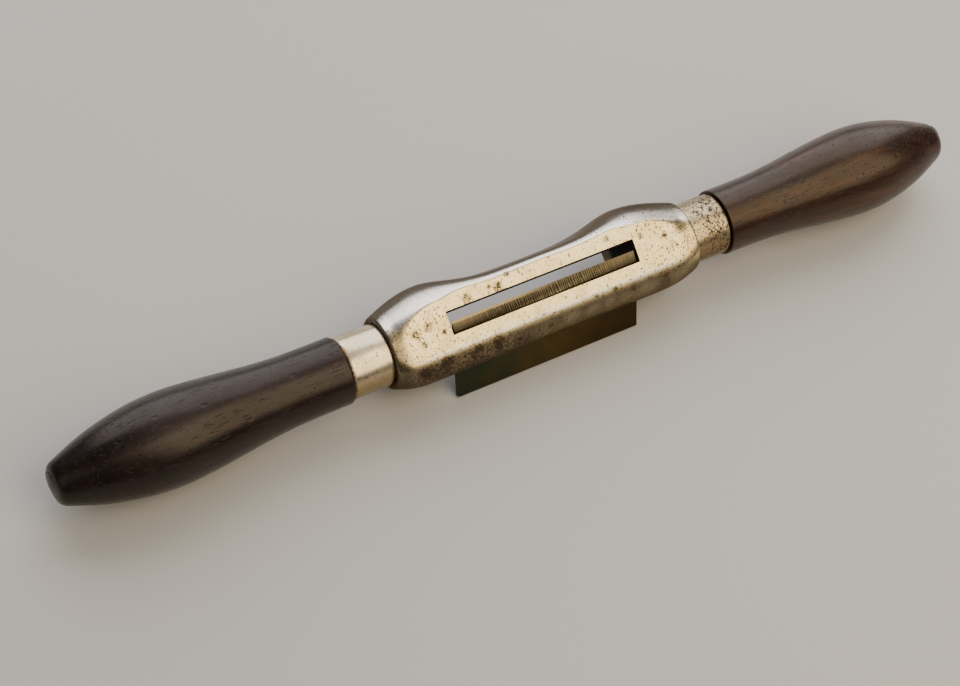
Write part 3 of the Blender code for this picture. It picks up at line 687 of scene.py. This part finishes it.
for side, hand in ((-1, "left"), (1, "right")):
    handle = handGrip(hand, side, handleShape)
    handle.data.materials.append(darkWood(f"darkWood.{hand}", endLook(handleWear, hand), side))
    seat(handle, "frame", "dark_hardwood", f"{hand}_handle")
    tube = turnedGrid(ferruleProfile(ferruleShape, ferruleShape[hand]), side, ferruleShape["around"])
    ferrule = gridPiece(f"{hand}_sleeve", tube, wrapRows=True)
    plating = nickelFerrule(f"nickelFerrule.{hand}", endLook(ferruleWear, hand), side)
    ferrule.data.materials.append(plating)
    seat(ferrule, "frame", "plated_nickel", f"{hand}_ferrule")
print("handles and ferrules made")


# Cutter, cap, screw and tangs keep the CAD node's shape, with eased edges

cutterWear = {
    "bevel": (0.150, 0.122, 0.074), "grind": (0.020, 0.0165, 0.0105), "hone": (0.34, 0.270, 0.152),
    "blue": (0.034, 0.043, 0.025), "bronze": (0.085, 0.057, 0.021), "straw": (0.048, 0.029, 0.010),
    "rust": (0.012, 0.009, 0.007), "bevelWidth": 2.95, "honeWidth": 0.55, "pitch": 0.60, "groundMiddle": 1,
    "groundSpan": (24, 12), "honedSpan": (6, -12), "roughness": 0.34, "depth": 0.03, "ease": 0.06}


def cutterSteel(look, s):
    finish = Finish("temperedCutter")
    x, y, z = finish.xyz()
    angle = math.radians(s["bedAngle"])
    upBed = (y - s["edgeY"]) * math.cos(angle) + (z - s["edgeZ"]) * math.sin(angle)  # 0 at the edge
    onBevel = upBed.rise(-look["bevelWidth"] - 0.02, -look["bevelWidth"] + 0.02)
    drift = finish.noise(1.0, 3, finish.vector(x * 0.55, upBed * 0.10, 0.0))
    fine = finish.noise(1.0, 2, finish.vector(x * 6.0, upBed * 0.25, z * 0.1))
    clouds = finish.noise(0.16, 4)
    spotted = finish.noise(2.2, 3).rise(0.62, 0.70)
    phase = (x + upBed * 0.12) * (2 * math.pi / look["pitch"]) + drift * 16
    wheel = (phase.sine() * 0.5 + 0.5 + (fine - 0.5) * 0.9).rise(0.15, 0.85)  # marks of the wheel's passes
    strong = abs(x - look["groundMiddle"]).rise(*look["groundSpan"]) * 0.75 + 0.12 + (drift - 0.5) * 0.5
    honed = (upBed + (fine - 0.5) * 1.1).rise(-look["honeWidth"] - 0.12, -look["honeWidth"] + 0.12)
    ground = finish.layered(look["bevel"], [
        ((1 - wheel) * strong, look["grind"]),
        (fine.rise(0.60, 0.40) * 0.30, look["grind"]),
        (honed * x.rise(*look["honedSpan"]) * 0.8, look["hone"])])
    stops = [(0.12, look["blue"]), (0.5, look["bronze"]), (0.9, look["straw"])]
    temper = finish.ramp(x / (2 * s["mouth"]) + 0.5 + (clouds - 0.5) * 0.55, stops)
    temper = finish.mix(spotted * 0.6, temper, look["rust"])
    height = wheel * strong * onBevel * 0.7 + fine * 0.25 - spotted * 0.3
    uneven = (clouds - 0.5) * 0.15 + spotted * 0.25 - onBevel * 0.02
    return finish.wear(colour=finish.mix(onBevel, temper, ground),
                       metallic=1 - spotted * (1 - onBevel) * 0.7,
                       roughness=look["roughness"] + uneven, normal=finish.relief(height, look["depth"]))


capWear = {"tone": (0.70, 0.64, 0.53), "rust": (0.07, 0.042, 0.025),
           "roughness": 0.30, "depth": 0.04, "ease": 0.25}
screwWear = {"tone": (0.66, 0.60, 0.50), "rust": (0.06, 0.038, 0.022),
             "roughness": 0.30, "depth": 0.04, "ease": 0.08}
tangWear = {"tone": (0.30, 0.28, 0.26), "rust": (0.05, 0.03, 0.02),
            "roughness": 0.30, "depth": 0.04, "ease": 0.08}


def hiddenIron(name, look):                   # cloudy metal with rust pits, for pieces that hardly show
    finish = Finish(name)
    clouds = finish.noise(0.3, 4)
    lathe = finish.noise(1.0, 2, finish.stretch(3.0, 0.4, 0.4))
    rust = (finish.noise(1.7, 4) + (clouds - 0.5) * 0.35).rise(0.60, 0.70)
    tone = finish.layered(look["tone"], [(clouds, shaded(look["tone"], 0.75)), (rust, look["rust"])])
    return finish.wear(colour=tone, metallic=1 - rust * 0.8,
                       roughness=look["roughness"] + rust * 0.4 + (lathe - 0.5) * 0.1,
                       normal=finish.relief(1 - rust + lathe * 0.1, look["depth"]))


cutter = finerCopy("cutter", "cutter_plate", cutterWear["ease"])
cutter.data.materials.append(cutterSteel(cutterWear, bodyShape))
seat(cutter, "cutter", "blued_steel", "cutter")
cap = finerCopy("clamp_cap", "cap_plate", capWear["ease"])
cap.data.materials.append(hiddenIron("wornNickelCap", capWear))
seat(cap, "cap", "plated_nickel", "clamp_cap")
screw = finerCopy("clamp_screw", "cap_screw", screwWear["ease"])
screw.data.materials.append(hiddenIron("wornNickelScrew", screwWear))
seat(screw, "screw", "plated_nickel", "clamp_screw")
for hand in ("left", "right"):
    tang = finerCopy(f"{hand}_tang", f"{hand}_rod", tangWear["ease"])
    tang.data.materials.append(hiddenIron(f"darkIron.{hand}", tangWear))
    seat(tang, "frame", "dark_iron", f"{hand}_tang")
print("cutter, clamp and tangs made")


# Floor, light and camera

floorLook = {"pale": (0.50, 0.487, 0.472), "paler": (0.54, 0.527, 0.512), "roughness": 0.42, "reach": 3.0}


def makeFloor(look):
    side = look["reach"]
    corners = [(-side, -side, 0), (side, -side, 0), (side, side, 0), (-side, side, 0)]
    floor = newPiece("floor", corners, [(0, 1, 2, 3)])
    finish = Finish("paleFloor")
    soft = finish.noise(0.004, 3)
    floor.data.materials.append(finish.wear(colour=finish.mix(soft, look["pale"], look["paler"]),
                                            roughness=look["roughness"] + (soft - 0.5) * 0.06))


# each panel faces the middle of the tool; metres, watts
lightLook = {
    "warmKey": {"towards": (0.377, -0.546, 0.749), "away": 0.95, "size": (0.95, 0.95), "power": 8.2,
                "colour": (1.0, 0.845, 0.585)},
    "coolBack": {"towards": (0.36, 0.72, 0.60), "away": 1.0, "size": (1.5, 1.05), "power": 13.0,
                 "colour": (0.98, 0.965, 0.985)},
    "top": {"towards": (0.15, -0.05, 1.0), "away": 1.3, "size": (1.3, 0.9), "power": 2.6,
            "colour": (1.0, 0.94, 0.84)},
    "fill": {"towards": (-0.75, -0.25, 0.6), "away": 1.4, "size": (0.9, 0.9), "power": 1.2,
             "colour": (1.0, 0.95, 0.90)}}
lightAim = Vector((0, 0, 0.012))
worldLook = {"colour": (0.90, 0.93, 1.0, 1), "strength": 0.14}


def makeLight(name, look):
    lamp = bpy.data.lights.new(name, "AREA")
    lamp.shape, (lamp.size, lamp.size_y) = "RECTANGLE", look["size"]
    lamp.energy, lamp.color = look["power"], look["colour"]
    light = linked(name, lamp)
    way = Vector(look["towards"]).normalized()
    facing = way.to_track_quat("Z", "Y").to_matrix().to_4x4()
    light.matrix_world = Matrix.Translation(lightAim + way * look["away"]) @ facing


def makeWorld(look):
    world = bpy.data.worlds.new("studio")
    world.use_nodes = True
    backdrop = world.node_tree.nodes["Background"].inputs
    backdrop["Color"].default_value, backdrop["Strength"].default_value = look["colour"], look["strength"]
    bpy.context.scene.world = world


# the photograph's viewpoint in the tool's axes; all in millimetres but the near limit, which is in metres
cameraLook = {"place": (-242.164, 42.2005, 550.642), "right": (0.8605, -0.3381, 0.3811),
              "up": (0.3431, 0.9376, 0.0572), "lens": 90.51, "sensor": 36, "near": 0.01}


def makeCamera(look):
    lens = bpy.data.cameras.new("camera")
    lens.lens, lens.sensor_width, lens.sensor_fit = look["lens"], look["sensor"], "HORIZONTAL"
    lens.clip_start = look["near"]
    camera = linked("camera", lens)
    right, up = (rollTurn @ Vector(look[k]).normalized() for k in ("right", "up"))
    back = right.cross(up).normalized()
    turned = Matrix((right, back.cross(right), back)).transposed().to_4x4()
    camera.matrix_world = Matrix.Translation(toWorld(look["place"])) @ turned
    bpy.context.scene.camera = camera


makeFloor(floorLook)
for name, look in lightLook.items():
    makeLight(name, look)
makeWorld(worldLook)
makeCamera(cameraLook)
print("floor, light and camera made")
